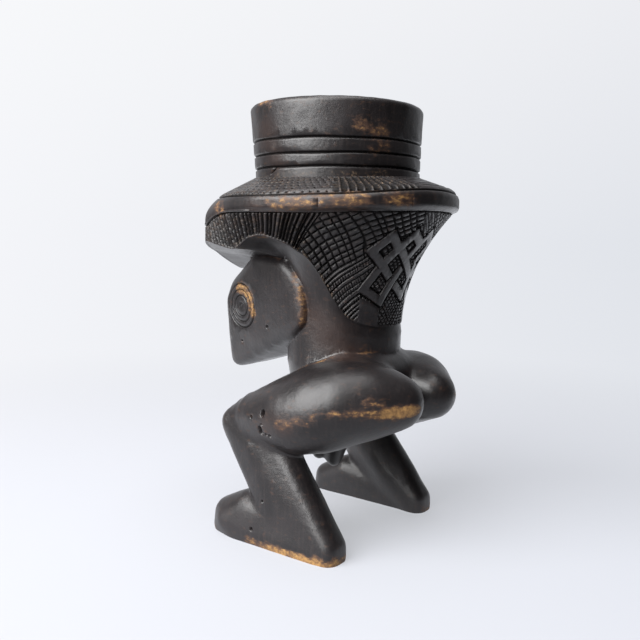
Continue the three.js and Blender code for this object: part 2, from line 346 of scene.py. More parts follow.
def slits(points):
    """How deep the cracks and slips of the knife go at each point, in mm."""
    depth = np.zeros(len(points))
    for start, end, width, deep in SLITS:
        depth = np.maximum(depth, deep * smoothstep(width, width * 0.2, distance_to(points, start, end)))
    return depth


def marks(points):
    """How deep the eye rings and insect holes go at each point, in mm."""
    depth = np.zeros(len(points))
    for side in (np.ones(3), MIRROR):
        offset = points - EYE_CENTRE * side
        out = offset @ (EYE_NORMAL * side)
        from_axis = np.linalg.norm(offset - out[:, None] * (EYE_NORMAL * side), axis=1)
        for radius, width, deep in EYE_RINGS:
            groove = deep * smoothstep(width / 2, 0, np.abs(from_axis - radius))
            depth = np.maximum(depth, np.where(np.abs(out) < 9, groove, 0))
    for place, radius, deep in HOLES:
        near = np.linalg.norm(points - np.array(place), axis=1)
        depth = np.maximum(depth, deep * smoothstep(radius * 1.15, radius * 0.6, near))
    return depth


points = points_of(body)
for number, (place, radius, deep) in enumerate(HOLES):
    nearest = np.linalg.norm(points - np.array(place), axis=1).argmin()
    HOLES[number] = (tuple(points[nearest]), radius, deep)
subdivide_near(body, [EYE_CENTRE, EYE_CENTRE * MIRROR], [16, 16], 1)
subdivide_near(body, [h[0] for h in HOLES], [h[1] + 1.6 for h in HOLES], 2)
points = points_of(body)
uneven = 0.04 * waves(points, 8, 5) + 0.16 * waves(points, 26, 6)
outward = rows_of(body.data.vertex_normals, "vector")
move_points(body, points + outward * (uneven - marks(points))[:, None])
print("body with marks:", len(body.data.polygons), "faces")

# %% [markdown]
# ## The head-dress and the cup
#
# The cup, its shoulder and the wide head-dress are nearly round, so they start as a flat grid that
# is rolled up: its columns become directions round the axis and its rows run along the outline,
# from the middle of the bowl, over the rim and down to the waist. The outline changes with the
# direction, because the hood hangs far over the face and its lower border, the hairline, rises in
# an arch over each ear.

# %% The hood's outline in each direction
COLUMNS = 1080
RIM_RADIUS, WAIST_RADIUS, CUP_FOOT = 46.6, 44.6, 194.4
BACK_RADIUS, SHOULDER_EDGE = 37.3, 65.5
BAND_LOW = np.array([
    (0, 164), (36, 165), (52, 167), (55, 169.5), (60, 171.5), (65, 172.7), (72, 173.2), (110, 173.1),
    (120, 173.5), (130, 174), (140, 174.5), (152, 175), (166, 175.7), (180, 175.9),
])
HAIRLINE = np.array([
    (0, 141, 26, 146, 1), (24, 152, 26, 146, 1), (50, 158.5, 28, 146, 1.2),
    (69, 154, 29, 143, 2), (77, 160, 30, 136, 2.2), (85, 162, 31, 127, 2),
    (96, 158.5, 32.5, 121, 1.7), (108, 150.5, 34.5, 118, 1.5), (122, 131.5, 36.5, 114, 1.2),
    (129, 124.5, 37, 112.5, 1.1), (133, 121.3, 37.2, 111.5, 1), (139, 119, 37.3, 111, 1),
    (149, 116.9, 37.3, 110.5, 1), (160, 115.5, 37.3, 110, 1), (180, 114.9, 37.3, 110, 1),
])


def frontness(turn):
    """1 over the face, falling to 0 where the back's plain flare begins."""
    t = np.clip((np.abs(turn) - 50) / 65, 0, 1)
    return (1 - t) ** 1.5


def hood_radius(turn):
    """The hood's radius where it hangs straight down, a little flatter over the face."""
    return 72 - 2.8 * np.maximum(np.cos(np.radians(1.8 * turn)), 0)


def wall_radius(turn, z):
    """The radius of the patterned wall."""
    flare = BACK_RADIUS + 26.3 * (np.maximum(z - 110, 0) / 65.5) ** 2.2
    front = frontness(turn)
    return flare + (hood_radius(turn) - flare) * front


def sag(turn, middle, spread):
    """1 in the middle direction and falling away from it, for what the carver cut a little low."""
    return np.exp(-(((turn - middle + 180) % 360 - 180) / spread) ** 2)


def cup_foot(turn):
    """The height where the cup stands on the shoulder, low on the figure's left."""
    return CUP_FOOT - 3.5 * sag(turn, 105, 75)


def shoulder_height(turn, share):
    """The shoulder's height, from share 0 at the cup's foot to 1 at the band, rounded over at its edge."""
    front = frontness(turn)
    fall = 8 + 3 * front - 2.3 * sag(turn, 168, 30)
    round_over = (2.6 - 1.3 * front) * np.maximum((share - 0.8) / 0.2, 0) ** 2.2
    return cup_foot(turn) - fall * share - round_over


def softened(turn, table, column):
    """One column of a table at each direction, with its corners softened."""
    fine = np.arange(-200, 200.1, 0.5)
    values = np.interp(np.abs((fine + 180) % 360 - 180), table[:, 0], table[:, column])
    bell = np.exp(-0.5 * (np.arange(-8, 9) * 0.5 / 1.6) ** 2)
    soft = np.convolve(values, bell / bell.sum(), mode="same")
    return np.interp(turn, fine, soft)


def hairline(turn, column):
    """One column of the hairline table at each direction."""
    return softened(turn, HAIRLINE, column)


def band_bottom(turn):
    """The height of the smooth band's lower edge."""
    return softened(turn, BAND_LOW, 1)


# %% Rows along the outline
directions = np.linspace(-180, 180, COLUMNS + 1)
rows = []


def row(radius, z):
    """Add one row to the outline."""
    rows.append((np.broadcast_to(radius, directions.shape), np.broadcast_to(z, directions.shape)))


def rows_to(radius, z, count):
    """Add evenly spaced rows from the last one to a new radius and height."""
    last_radius, last_z = rows[-1]
    for t in np.linspace(0, 1, count + 1)[1:]:
        row(last_radius + (radius - last_radius) * t, last_z + (z - last_z) * t)


row(0, 146)
for radius, z, count in ((18, 147.5, 5), (30, 155, 6), (36.6, 186, 12), (40, 206, 12), (40.8, 226.5, 14)):
    rows_to(radius, z, count)
for t in np.radians(np.arange(10, 181, 10)):
    row(43.7 - 2.9 * np.cos(t), 227 + 3 * np.sin(t))
cup_side = len(rows)
rows_to(WAIST_RADIUS, cup_foot(directions), 95)
shoulder_start = len(rows)
for share in np.linspace(0, 1, 91)[1:]:
    row(WAIST_RADIUS + (SHOULDER_EDGE - WAIST_RADIUS) * share, shoulder_height(directions, share))
shoulder_end = len(rows)
# The smooth band is upright at the back, and swells out to the hood over the face.
front = frontness(directions)
under = band_bottom(directions)
band_top = shoulder_height(directions, 1.0)
for t in np.linspace(0, 1, 15)[1:]:
    upright = SHOULDER_EDGE + 0.7 * (1 - max(1 - t / 0.3, 0) ** 2) - 0.9 * max((t - 0.7) / 0.3, 0) ** 2
    swollen = SHOULDER_EDGE + (wall_radius(directions, under) - SHOULDER_EDGE) * (1 - (1 - t) ** 2.4)
    row(upright + (swollen - upright) * front, band_top + (under + 1.2 - band_top) * t)
rows_to(wall_radius(directions, under) + 0.3, under + 0.3, 4)
rows_to(wall_radius(directions, under), under, 2)
wall_start = len(rows)
border = hairline(directions, 1)
top = under
WALL_ROWS = 132
for t in np.linspace(0, 1, WALL_ROWS + 1)[1:]:
    z = top + (border - top) * t
    row(wall_radius(directions, z), z)
wall_end = len(rows)
edge = wall_radius(directions, border) - 1.2
rows_to(edge, border + 0.2, 3)
core, core_z, roundness = (hairline(directions, column) for column in (2, 3, 4))
for t in np.linspace(0, np.pi / 2, 45)[1:]:
    inward, height = np.sin(t) ** (2 / roundness), np.maximum(np.cos(t), 0) ** (2 / roundness)
    row(edge + (core - edge) * inward, core_z + (border - core_z) * height)
waist = BACK_RADIUS + (23 - BACK_RADIUS) * ((1 + np.cos(np.radians(directions))) / 2) ** 1.4
rows_to(waist, 108, 8)
rows_to(waist, 94, 10)
rows_to(waist - 3, 78, 8)
rows_to(0, 78, 4)
print("rows:", len(rows), "columns:", COLUMNS)

# %% [markdown]
# ## The cut pattern
#
# Most of the pattern is families of straight V cuts made with a small knife. A family is counted
# across its cuts, so that every whole number is the middle of one cut. A seeded table gives each
# cut its own small error in place, width and depth, as a hand does.

# %% One family of cuts
HAND = np.random.default_rng(11).uniform(-1, 1, 997)


def cuts(across, spacing, width, depth, seed):
    """Depth of a family of V cuts. across counts the cuts, and spacing is their distance in mm."""
    number = np.rint(across)
    which = number.astype(int) * 31 + seed
    off = np.abs(across - number - 0.15 * HAND[which % 997]) * spacing
    reach = width / 2 * (1 + 0.28 * HAND[(which + 400) % 997])
    return depth * (1 + 0.25 * HAND[(which + 700) % 997]) * np.clip(1 - off / reach, 0, 1) ** 0.7


def crossing(slope, per_degree):
    """How much closer slanting cuts lie than their spacing up the wall."""
    return 1 / np.sqrt(1 + (slope / per_degree) ** 2)


def inside(turn, z, corners):
    """Which points lie inside a closed outline."""
    found = np.zeros(turn.shape, bool)
    for (a, b), (c, d) in zip(corners, corners[1:] + corners[:1]):
        with np.errstate(divide="ignore", invalid="ignore"):
            found ^= ((b > z) != (d > z)) & (turn < (c - a) * (z - b) / (d - b) + a)
    return found


# %% The plaited bands on the back
PLAIT = [
    [(162, 158), (156.5, 162.5), (146.5, 154.7), (163.4, 142.8)],
    [(159, 150.6), (172.5, 163.6), (179.5, 160.4)],
    [(179, 154), (188, 164), (195.3, 160.3)],
    [(169.5, 154.2), (187, 143.6)],
    [(191, 150.5), (203.5, 162.8), (213.5, 154.7), (197, 142.5)],
    [(153, 144), (145.5, 135.3), (161.5, 129), (173.5, 144.6)],
    [(175, 136.6), (187, 131.2), (193.5, 146.5)],
    [(207, 141.5), (213.5, 135.3), (200, 129.4), (196, 134.5)],
]  # corners of each band's middle line: degrees round the back, and height
PANEL = [
    (144, 155), (156, 165.5), (163, 161), (172.5, 167), (180, 163), (188, 167), (196, 161.5),
    (203.5, 165.5), (216, 155), (209, 147), (216, 135.5), (200, 126), (187, 128.5), (161.5, 126.5),
    (142.5, 135), (151, 146),
]


def band_distance(turn, z, per_degree):
    """Millimetres to the middle line of the nearest plaited band."""
    nearest = np.full(turn.shape, 99.0)
    for corners in PLAIT:
        for (a, b), (c, d) in zip(corners, corners[1:]):
            run = np.array([(c - a), (d - b)])
            x, y = (turn - a) * per_degree, z - b
            along_x, along_y = run[0] * per_degree, run[1]
            long = np.hypot(along_x, along_y)
            forward = (x * along_x + y * along_y) / long
            aside = np.abs(x * along_y - y * along_x) / long
            beyond = np.maximum(-forward, forward - long)
            nearest = np.minimum(nearest, np.maximum(aside, beyond))
    return nearest


print("plaited bands:", len(PLAIT))


# %% The pattern on the wall
# Degrees that a stroke leans for each mm of height, in the direction where it starts at the top.
LEAN = ((40, 55, 65, 75, 82, 90, 100, 109, 118), (0.0, -0.15, -0.05, 0.05, 0.18, 0.38, 0.55, 0.62, 0.9))
FALL = ((105, 119, 125, 128, 132, 150), (0.62, 0.62, 0.6, 0.75, 0.92, 0.95))
MEET = ((150, 158, 173), (101, 105, 119))  # where the strokes meet the net, at each height


def wall_pattern(turn, z):
    """Height of the pattern on the wall in mm, below 0 where it is cut."""
    side = np.abs(turn)
    per_degree = np.radians(1) * wall_radius(turn, z)
    sway = 0.10 * np.sin(0.21 * side + 0.11 * z) + 0.06 * np.sin(0.13 * side - 0.23 * z)
    # Strokes that lean more and more towards the back, and lines that fall to the back.
    start, fallen = side, side
    for _ in range(4):
        start = side + (172 - z) * np.interp(start, *LEAN)
        fallen = side - (173 - z) * np.interp(fallen, *FALL)
    falling_cut = cuts(fallen / 5.0 + sway, 4.2, 1.15, 1.0, 210)
    strokes = cuts(start / 2.25 + sway, 2.25 * per_degree, 1.7, 1.35, 3)
    steps = cuts((z + 0.8 * side) / 3.4 + sway, 2.6, 0.95, 0.5, 50) * smoothstep(90, 80, side)
    criss = 0.75 * falling_cut * smoothstep(96, 100, side) * smoothstep(170, 166, z)
    front_cut = np.maximum(np.maximum(strokes, steps), criss)
    # The net behind the ear, which the lower border leaves as rising strokes.
    rise = 0.66 - 0.006 * (z - 130)
    rising = (z - rise * (side - 125)) / 3.3
    rising_cut = cuts(rising + sway, 3.3 * crossing(0.62, per_degree), 1.25, 1.05, 120)
    falling_low = np.interp(side, (100, 113, 124, 132, 141), (146, 147, 144, 147.5, 151))
    net_fall = falling_cut * smoothstep(falling_low - 0.5, falling_low + 0.5, z)
    notches = cuts(fallen / 2.2 + 2 * sway, 2.0, 0.9, 0.6, 260)
    notches = notches * smoothstep(falling_low, falling_low - 2, z)
    notches = notches * smoothstep(0.2, 0.6, HAND[(np.rint(rising).astype(int) * 7 + 90) % 997])
    back_cut = np.maximum(np.maximum(rising_cut, net_fall), notches)
    to_net = smoothstep(-0.8, 0.8, side - np.interp(z, *MEET))
    cut = front_cut + (back_cut - front_cut) * to_net
    # The middle of the back counts its degrees straight through.
    round_turn = np.where(turn < 0, turn + 360, turn)
    high = inside(round_turn, z, [(163, 160), (172, 169), (170, 176), (215, 176), (211, 160)])
    long_cut = cuts((z + 0.75 * round_turn) / 2.1 + sway, 2.1 * crossing(0.75, per_degree), 0.9, 0.7, 330)
    cut = np.where(high, np.maximum(long_cut, 0.6 * falling_cut), cut)
    diamonds = np.maximum(
        cuts((z + 0.8 * round_turn) / 3.3 + sway, 2.35, 1.05, 0.9, 400),
        cuts((z - 0.8 * round_turn) / 3.3 - sway, 2.35, 1.05, 0.9, 450))
    panel = inside(round_turn, z, PANEL)
    foot = inside(round_turn, z, [(162, 114), (160, 127), (164, 129), (200, 129), (203, 127), (200, 114)])
    cut = np.where(foot, diamonds, cut)
    plain = inside(round_turn, z, [(143, 108), (143.5, 131), (161, 126.5), (162, 108)])
    plain |= inside(round_turn, z, [(200, 108), (200, 126.5), (216.5, 131), (217, 108)])
    cut = np.where(plain, 0, cut)
    cut = np.where(panel, diamonds, cut)
    distance = band_distance(round_turn, z, per_degree)
    ditch = 1.3 * smoothstep(0.75, 0.2, np.abs(distance - 2.6))
    ditch = ditch * smoothstep(142, 144, round_turn) * smoothstep(218, 216, round_turn)
    cut = np.maximum(cut, ditch)
    on_band = smoothstep(2.5, 2.1, distance)
    return -cut * (1 - on_band) + 0.1 * on_band


# %% The pattern on the shoulder
PIT_TURN, PIT_ROW = 3.6, 4.1  # degrees and mm between neighbouring pits


def shoulder_pattern(turn, down, length, radius):
    """Height of the pattern on the shoulder; down is the way from the cup's foot in mm."""
    side = np.abs(turn)
    round_turn = np.where(turn < 0, turn + 360, turn)
    pitch = PIT_TURN * np.radians(1) * radius
    sway = 0.07 * np.sin(0.3 * side + 0.2 * down) + 0.05 * np.sin(0.17 * side - 0.4 * down)
    # Rows of pits, each row half a step along from the next.
    level = (down - 1.2) / PIT_ROW + 0.5 * sway
    rank = np.rint(level)
    spoke = side / PIT_TURN + 0.5 * (rank % 2) + sway
    off = HAND[(np.rint(spoke).astype(int) * 17 + rank.astype(int) * 101) % 997]
    away = np.hypot((spoke - np.rint(spoke)) * pitch / 0.85, (level - rank) * PIT_ROW / 1.35)
    pits = (1.25 + 0.25 * off) * smoothstep(1.0, 0.35, away + 0.18 * off)
    # Raised spokes, with the wood between them cut down and pricked.
    cell = np.abs(side / PIT_TURN + sway - np.rint(side / PIT_TURN + sway)) * pitch
    pricks = cuts(down / 3.0 + 2 * sway, 3.0, 1.5, 0.55, 600) * smoothstep(0.5, 0.9, cell)
    net = 0.55 * smoothstep(0.25, 0.6, cell) + pricks
    rings = cuts((down + 1.5) / 4.6 + 1.6 * sway, 4.6, 1.9, 1.1, 640)
    cut = pits + (net - pits) * smoothstep(121, 126, side)
    cut = cut + (rings - cut) * smoothstep(160, 166, round_turn) * smoothstep(228, 222, round_turn)
    cut = cut * smoothstep(0.6, 1.6, down) * smoothstep(length - 1.6, length - 2.4, down)
    return -np.maximum(cut, 0.7 * smoothstep(0.55, 0.15, np.abs(down - length + 1.1)))


# %% [markdown]
# ## The relief
#
# The rows and columns make a surface in space, and its outward direction is known at every point.
# The patterns say how far each point moves along that direction.

# %% Relief on the grid
LEAN_WAY = np.array([0.59, -0.81, 0.0])
GROOVES = ((210.5, 0.1, 0.4), (203.7, 0.9, 1.9), (197.0, 0.9, 3.1))  # height, how far it sags, seed


def cup_lean(z):
    """How far the cup has moved to the side at each height, in mm."""
    return 1.3 * np.clip((z - 192) / 38, 0, 1)


def groove_height(turn, z, low, seed):
    """The height of a line round the cup, a little uneven."""
    angle = np.radians(turn)
    wobble = 0.2 * np.sin(angle * 2 + seed) + 0.12 * np.sin(angle * 7 + 2 * seed)
    return z - low * sag(turn, 115, 60) + wobble


radii = np.array([r for r, _ in rows])
heights = np.array([z for _, z in rows])
turns = np.broadcast_to(directions, radii.shape)
angle = np.radians(directions)[None, :]
surface = np.stack([radii * np.sin(angle), -radii * np.cos(angle), heights], axis=-1)
along = np.gradient(surface, axis=0)
across_step = np.stack([radii * np.cos(angle), radii * np.sin(angle), 0 * radii], axis=-1)
outward = np.cross(across_step, along)
outward /= np.maximum(np.linalg.norm(outward, axis=-1, keepdims=True), 1e-9)
outward *= np.sign(outward[wall_start + 5, 0, :2] @ surface[wall_start + 5, 0, :2])
relief = np.zeros(radii.shape)

wall = slice(wall_start + 1, wall_end - 1)
fade = smoothstep(0.3, 1.2, heights[wall] - border) * smoothstep(0.2, 1.0, top - heights[wall])
relief[wall] = wall_pattern(turns[wall], heights[wall]) * fade
# A groove along the band's lower edge. As a cut, the material darkens it into a painted shadow under the
# band.
relief[wall] -= 0.9 * smoothstep(0.9, 0.2, np.abs(top - heights[wall] - 0.5))

shoulder = slice(shoulder_start, shoulder_end)
start = shoulder_start - 1
down = np.hypot(radii[shoulder] - radii[start], heights[shoulder] - heights[start])
relief[shoulder] = shoulder_pattern(turns[shoulder], down, down[-1], radii[shoulder])

# The three lines round the cup, with a softened lower edge.
for z, low, seed in GROOVES:
    line = groove_height(directions, z, low, seed)
    groove = 1.1 * smoothstep(0.95, 0.1, np.abs(heights - line))
    lip = 0.35 * smoothstep(2.2, 0, np.abs(heights - line + 1.6))
    cup_rows = np.zeros(radii.shape, bool)
    cup_rows[cup_side:shoulder_start] = True
    relief -= np.where(cup_rows, np.maximum(groove, 0), 0) + np.where(cup_rows, 0.3 * lip, 0)
smooth_rows = np.ones(len(rows), bool)
smooth_rows[wall_start:wall_end] = False
smooth_rows[shoulder_start:shoulder_end] = False
uneven = 0.06 * waves(surface.reshape(-1, 3), 9, 21).reshape(relief.shape)
relief += np.where(smooth_rows[:, None], uneven, 0)
relief -= np.where(smooth_rows[:, None], slits(surface.reshape(-1, 3)).reshape(relief.shape), 0)
surface = surface + outward * relief[..., None]
surface[:shoulder_start] += cup_lean(surface[:shoulder_start, :, 2])[..., None] * LEAN_WAY
surface[:, -1] = surface[:, 0]
surface[0] = surface[0, 0]
surface[-1] = surface[-1, 0]
print("deepest cut:", round(float(relief.min()), 2), "mm")

# %% [markdown]
# The mesh itself starts as Blender's own flat grid. Each of its points is told its row and column,
# then it takes its place on the rolled surface, and the two edges that meet are merged.

# %% The flat grid
nothing_selected()
bpy.ops.mesh.primitive_grid_add(x_subdivisions=COLUMNS, y_subdivisions=len(rows) - 1, size=2)
headdress = bpy.context.object
headdress.name = "headdress"
flat = points_of(headdress) * MM
column_of = np.rint((flat[:, 0] + 1) / 2 * COLUMNS).astype(int)
row_of = np.rint((1 - flat[:, 1]) / 2 * (len(rows) - 1)).astype(int)
print("grid points:", surface.shape)

# %% Rolled up and closed
move_points(headdress, surface[row_of, column_of])
bpy.ops.object.mode_set(mode="EDIT")
bpy.ops.mesh.select_all(action="SELECT")
bpy.ops.mesh.remove_doubles(threshold=0.001 * MM)
bpy.ops.mesh.normals_make_consistent(inside=False)
bpy.ops.object.mode_set(mode="OBJECT")
print("headdress:", len(headdress.data.polygons), "faces")

# %% [markdown]
# ## One piece of wood
#
# The body and the head-dress are cut from one block, so they are joined with a boolean union. The
# soles are then made flat: everything below the floor is cut off with a bisect that fills the cut.

# %% Union and flat soles
only(headdress)
modify(headdress, "BOOLEAN", operation="UNION", solver="MANIFOLD", object=body)
bpy.data.objects.remove(body)
carving = headdress
carving.name = "carved_cup"
bpy.ops.object.mode_set(mode="EDIT")
bpy.ops.mesh.select_all(action="SELECT")
bpy.ops.mesh.bisect(plane_co=(0, 0, 0), plane_no=(0, 0, 1), use_fill=True, clear_inner=True)
bpy.ops.object.mode_set(mode="OBJECT")
print("carving:", len(carving.data.polygons), "faces")

# %% [markdown]
# The union leaves a crease as sharp as folded paper where the thighs meet the waist. A knife leaves
# a small hollow there, so the points near such creases are smoothed. The pattern is left alone.

# %% Soft creases
only(carving)
bpy.ops.object.mode_set(mode="EDIT")
mesh = bmesh.from_edit_mesh(carving.data)
CREASE = math.radians(22)
CREASE_REACH, CREASE_ROUNDS = 3.2, 14
sharp = set()
for edge in mesh.edges:
    if edge.is_manifold and edge.calc_face_angle_signed() < -CREASE:
        sharp.update(edge.verts)
places = np.array([v.co[:] for v in sharp]) / MM
bpy.ops.object.mode_set(mode="OBJECT")
turns_there = np.degrees(np.arctan2(places[:, 0], -places[:, 1]))
free = places[:, 2] < hairline(turns_there, 1) - 2
free &= (marks(places) < 0.05) & (places[:, 2] > 2)
tree = KDTree(int(free.sum()))
for number, place in enumerate(places[free]):
    tree.insert(place, number)
tree.balance()
points = points_of(carving)
low = np.flatnonzero((points[:, 2] < 150) & (np.hypot(points[:, 0], points[:, 1]) < 80))
near = np.array([tree.find(points[i])[2] for i in low])
group = carving.vertex_groups.new(name="creases")
for step in range(1, 5):
    chosen = low[(near < CREASE_REACH * (1.25 - step / 4)) & (near >= CREASE_REACH * (1 - step / 4))]
    group.add(chosen.tolist(), step / 4, "REPLACE")
modify(carving, "SMOOTH", factor=0.5, iterations=CREASE_ROUNDS, vertex_group=group.name)
print("crease points:", len(places[free]))

# %% [markdown]
# ## A lighter mesh
#
# The flat parts need far fewer faces than the pattern. Decimate keeps the faces where the surface
# bends, and edges sharper than an angle stay crisp.

# %% Fewer faces
TRIANGLES = 190000
SHARP = math.radians(55)


def triangles_of(piece):
    """How many triangles a piece has."""
    return sum(len(face.vertices) - 2 for face in piece.data.polygons)


only(carving)
triangles = triangles_of(carving)
modify(carving, "DECIMATE", ratio=TRIANGLES / triangles)

# Slivers along the union's seam can fold over. They are taken out and the gaps are filled.
mesh = bmesh.new()
mesh.from_mesh(carving.data)
for _ in range(3):
    folded = set()
    for edge in mesh.edges:
        if not edge.is_manifold:
            folded.update(face for vert in edge.verts for face in vert.link_faces)
    bmesh.ops.delete(mesh, geom=list(folded), context="FACES")
    bmesh.ops.holes_fill(mesh, edges=[edge for edge in mesh.edges if edge.is_boundary], sides=0)
    bmesh.ops.triangulate(mesh, faces=[face for face in mesh.faces if len(face.verts) > 3])
print("edges still open or folded:", sum(not edge.is_manifold for edge in mesh.edges))
mesh.to_mesh(carving.data)
mesh.free()
bpy.ops.object.shade_smooth_by_angle(angle=SHARP)
print("carving:", triangles, "triangles before,", triangles_of(carving), "after")

# %% [markdown]
# ## Where the wood is cut, worn and warm
#
# The finish follows the shape: the cuts are darkened, partly for the dirt that lies in them and partly as
# painted shade in the grooves, rings and holes, and hands have rubbed the ridges down to pale wood. Four
# values are written on the mesh's points for the material to read: how deep a point lies below the plain
# surface, which sets that darkening, how worn it is, how much the brown of the wood shows, and how dusty it
# is.

# %% Depth of the cuts
points = points_of(carving)
turn_of = np.degrees(np.arctan2(points[:, 0], -points[:, 1]))
radius_of = np.hypot(points[:, 0], points[:, 1])
height_of = points[:, 2]

on_wall = (height_of < band_bottom(turn_of) - 0.1) & (height_of > hairline(turn_of, 1) + 0.3)
below_wall = (wall_radius(turn_of, height_of) - radius_of) * 0.85
on_wall &= np.abs(below_wall) < 2.5
share = (radius_of - WAIST_RADIUS) / (SHOULDER_EDGE - WAIST_RADIUS)
below_shoulder = (shoulder_height(turn_of, share) - height_of) * 0.92
on_shoulder = (share > 0) & (share < 1) & (np.abs(below_shoulder) < 2.5)
foot_of = cup_foot(turn_of)
plain_cup = WAIST_RADIUS + (RIM_RADIUS - WAIST_RADIUS) * (height_of - foot_of) / (227 - foot_of)
upright = points - cup_lean(height_of)[:, None] * LEAN_WAY
below_cup = plain_cup - np.hypot(upright[:, 0], upright[:, 1])
on_cup = (height_of > foot_of + 1) & (height_of < 215) & (np.abs(below_cup) < 2.5)

depth = np.where(on_wall, below_wall, 0)
depth = np.where(on_shoulder, below_shoulder, depth)
depth = np.where(on_cup, below_cup - 0.25, depth)
# Eye rings, holes and slits count as cuts, so the material darkens them with dirt and painted shade.
marked = np.maximum(marks(points) / 0.8, slits(points) / 0.5)
cut = np.clip(np.maximum(depth / 0.65, marked), 0, 1)
patterned = on_wall | on_shoulder
print("points in cuts:", int((cut > 0.5).sum()), "of", len(cut))


# %% Worn and warm places
def along(points, start, end, reach):
    """1 on the line between two places, falling to 0 at reach."""
    return smoothstep(reach, reach * 0.2, distance_to(points, start, end))


WORN = [  # from, to, reach, strength
    ((57, 36, 77), (50, 43.5, 77.8), 2.6, 0.5), ((50, 43.5, 77.8), (37, 57, 77.4), 3.4, 0.8),
    ((37, 57, 77.2), (22, 67.5, 77.6), 5.0, 1.3), ((46, 50, 83), (38, 56, 83), 4.0, 0.45),
    ((-15.5, 68, 78.5), (-9, 68, 75), 4.0, 0.6), ((65, 8, 176), (60, 26, 178), 7, 0.5),
    ((57, 33, 178.5), (46, 46, 179.5), 7, 0.52), ((35, 55.7, 180), (26, 60, 180), 7, 0.55),
    ((59.5, -36.5, 176.7), (62, -30, 174), 7, 0.5), ((41.3, -19.7, 229), (45, -11, 229), 5, 0.5),
    ((31.5, 33.3, 216.3), (19.3, 41.3, 213), 6, 0.5), ((25.1, 37.7, 205.8), (17, 42, 206), 5, 0.4),
    ((57.5, -14, 2.0), (56.4, 2, 1.0), 4.0, 0.8), ((56.4, 2, 1.0), (56, 30, 1.0), 4.4, 1.05),
    ((56, 30, 1.0), (51, 37.5, 1.2), 4.6, 1.3), ((51, 37.5, 1.2), (43, 38, 1.5), 4.0, 1.0),
    ((36, 2, 92.3), (34.5, 12.3, 96.5), 2.0, 0.8), ((34.5, 12.3, 96.5), (31.3, 19.3, 99.2), 2.0, 0.8),
    ((31.3, 19.3, 99.2), (25.9, 26.2, 100.9), 1.9, 0.7), ((25.9, 26.2, 100.9), (18, 32.2, 102.1), 1.8, 0.6),
    ((18, 32.2, 102.1), (5, 36.6, 102.6), 1.8, 0.5),
    ((35, -1, 140), (35, 4.5, 128), 4.2, 0.65), ((35, 4.5, 128), (35, 4, 112), 3.6, 0.55),
    ((32, -13, 148.5), (27, -30, 152.5), 3.2, 0.55), ((55.9, -6.3, 161.3), (53, -9, 161.5), 6, 0.5),
    ((24.6, -49, 132.3), (26.2, -42.3, 130.8), 6.0, 0.85),
    ((26.2, -42.3, 130.8), (27.2, -38.5, 127), 6.0, 0.9),
    ((27.2, -38.5, 127), (26.8, -37, 118.5), 5.4, 0.85),
    ((56.5, -12, 68.8), (58.5, 2, 66), 4.0, 0.4), ((44, -46, 2), (54, -40, 2), 4, 0.5),
    ((62, 12, 70), (60, 30, 74), 6, 0.35),
]
WARM = [
    ((36, 12, 118), (28, 24, 104), 16, 0.55), ((44, -14, 214), (44, -8, 200), 12, 0.4),
    ((60.5, 4, 69), (61, 14, 69), 9, 0.4), ((35, 8, 140), (30, 10, 120), 12, 0.2),
    ((46, 44, 176), (64, -4, 174), 10, 0.4),
]


def patches(points, table):
    """The strongest patch at each point; the hidden right side has the same ones, fainter."""
    value = np.zeros(len(points))
    for start, end, reach, strength in table:
        for side, share in ((np.ones(3), 1.0), (MIRROR, 0.6)):
            value = np.maximum(value, share * strength * along(points * side, start, end, reach))
    return value


worn = patches(points, WORN)
warm = patches(points, WARM)
side = np.abs(turn_of)
hem = np.where(patterned, smoothstep(5, 0.5, height_of - hairline(turn_of, 1)), 0)
hem = hem * smoothstep(98, 104, side) * smoothstep(142, 136, side)
spokes = np.where(on_shoulder, smoothstep(115, 128, side) * smoothstep(166, 150, side), 0)
fore = np.where(patterned, smoothstep(118, 100, side) * smoothstep(44, 56, side), 0)

dusty = np.maximum(np.maximum(hem, 0.3 * fore), 0.7 * spokes)
for name, values in (("cut", cut), ("worn", worn), ("warm", warm), ("dusty", dusty)):
    attribute = carving.data.attributes.new(name, "FLOAT", "POINT")
    attribute.data.foreach_set("value", values.astype(np.float32))
print("worn points:", int((worn > 0.3).sum()), "warm points:", int((warm > 0.3).sum()))

# %% [markdown]
# ## Oiled ebony-dark hardwood
#
# The wood is a dense African hardwood, darkened with oil and soot and polished by hands. It shows
# as a near-black brown with a soft satin shine, a little fine grain, and ochre where it is worn
# through to the bare wood. Hardwood finished with oil has an IOR of about 1.5 and a roughness
# near 0.4. Noise scales are worked out from real sizes in millimetres.

# %% Colours and nodes
def linear(hex_colour):
    """An sRGB hex colour as linear light, which is what a shader socket takes."""
    values = [int(hex_colour[i:i + 2], 16) / 255 for i in (1, 3, 5)]
    return (*((v / 12.92 if v <= 0.04045 else ((v + 0.055) / 1.055) ** 2.4) for v in values), 1.0)


def add(tree, kind, inputs=None, **settings):
    """Add one node. Its inputs are given by number, each a value or the node that feeds it."""
    node = tree.nodes.new("ShaderNode" + kind)
    for name, value in settings.items():
        setattr(node, name, value)
    for number, value in (inputs or {}).items():
        if isinstance(value, bpy.types.Node):
            value = next(output for output in value.outputs if output.enabled)
        if isinstance(value, bpy.types.NodeSocket):
            tree.links.new(value, node.inputs[number])
        else:
            node.inputs[number].default_value = value
    return node


def per_mm(size):
    """The noise scale, on Object coordinates in metres, that gives features of this size in mm."""
    return 1 / (size * MM)


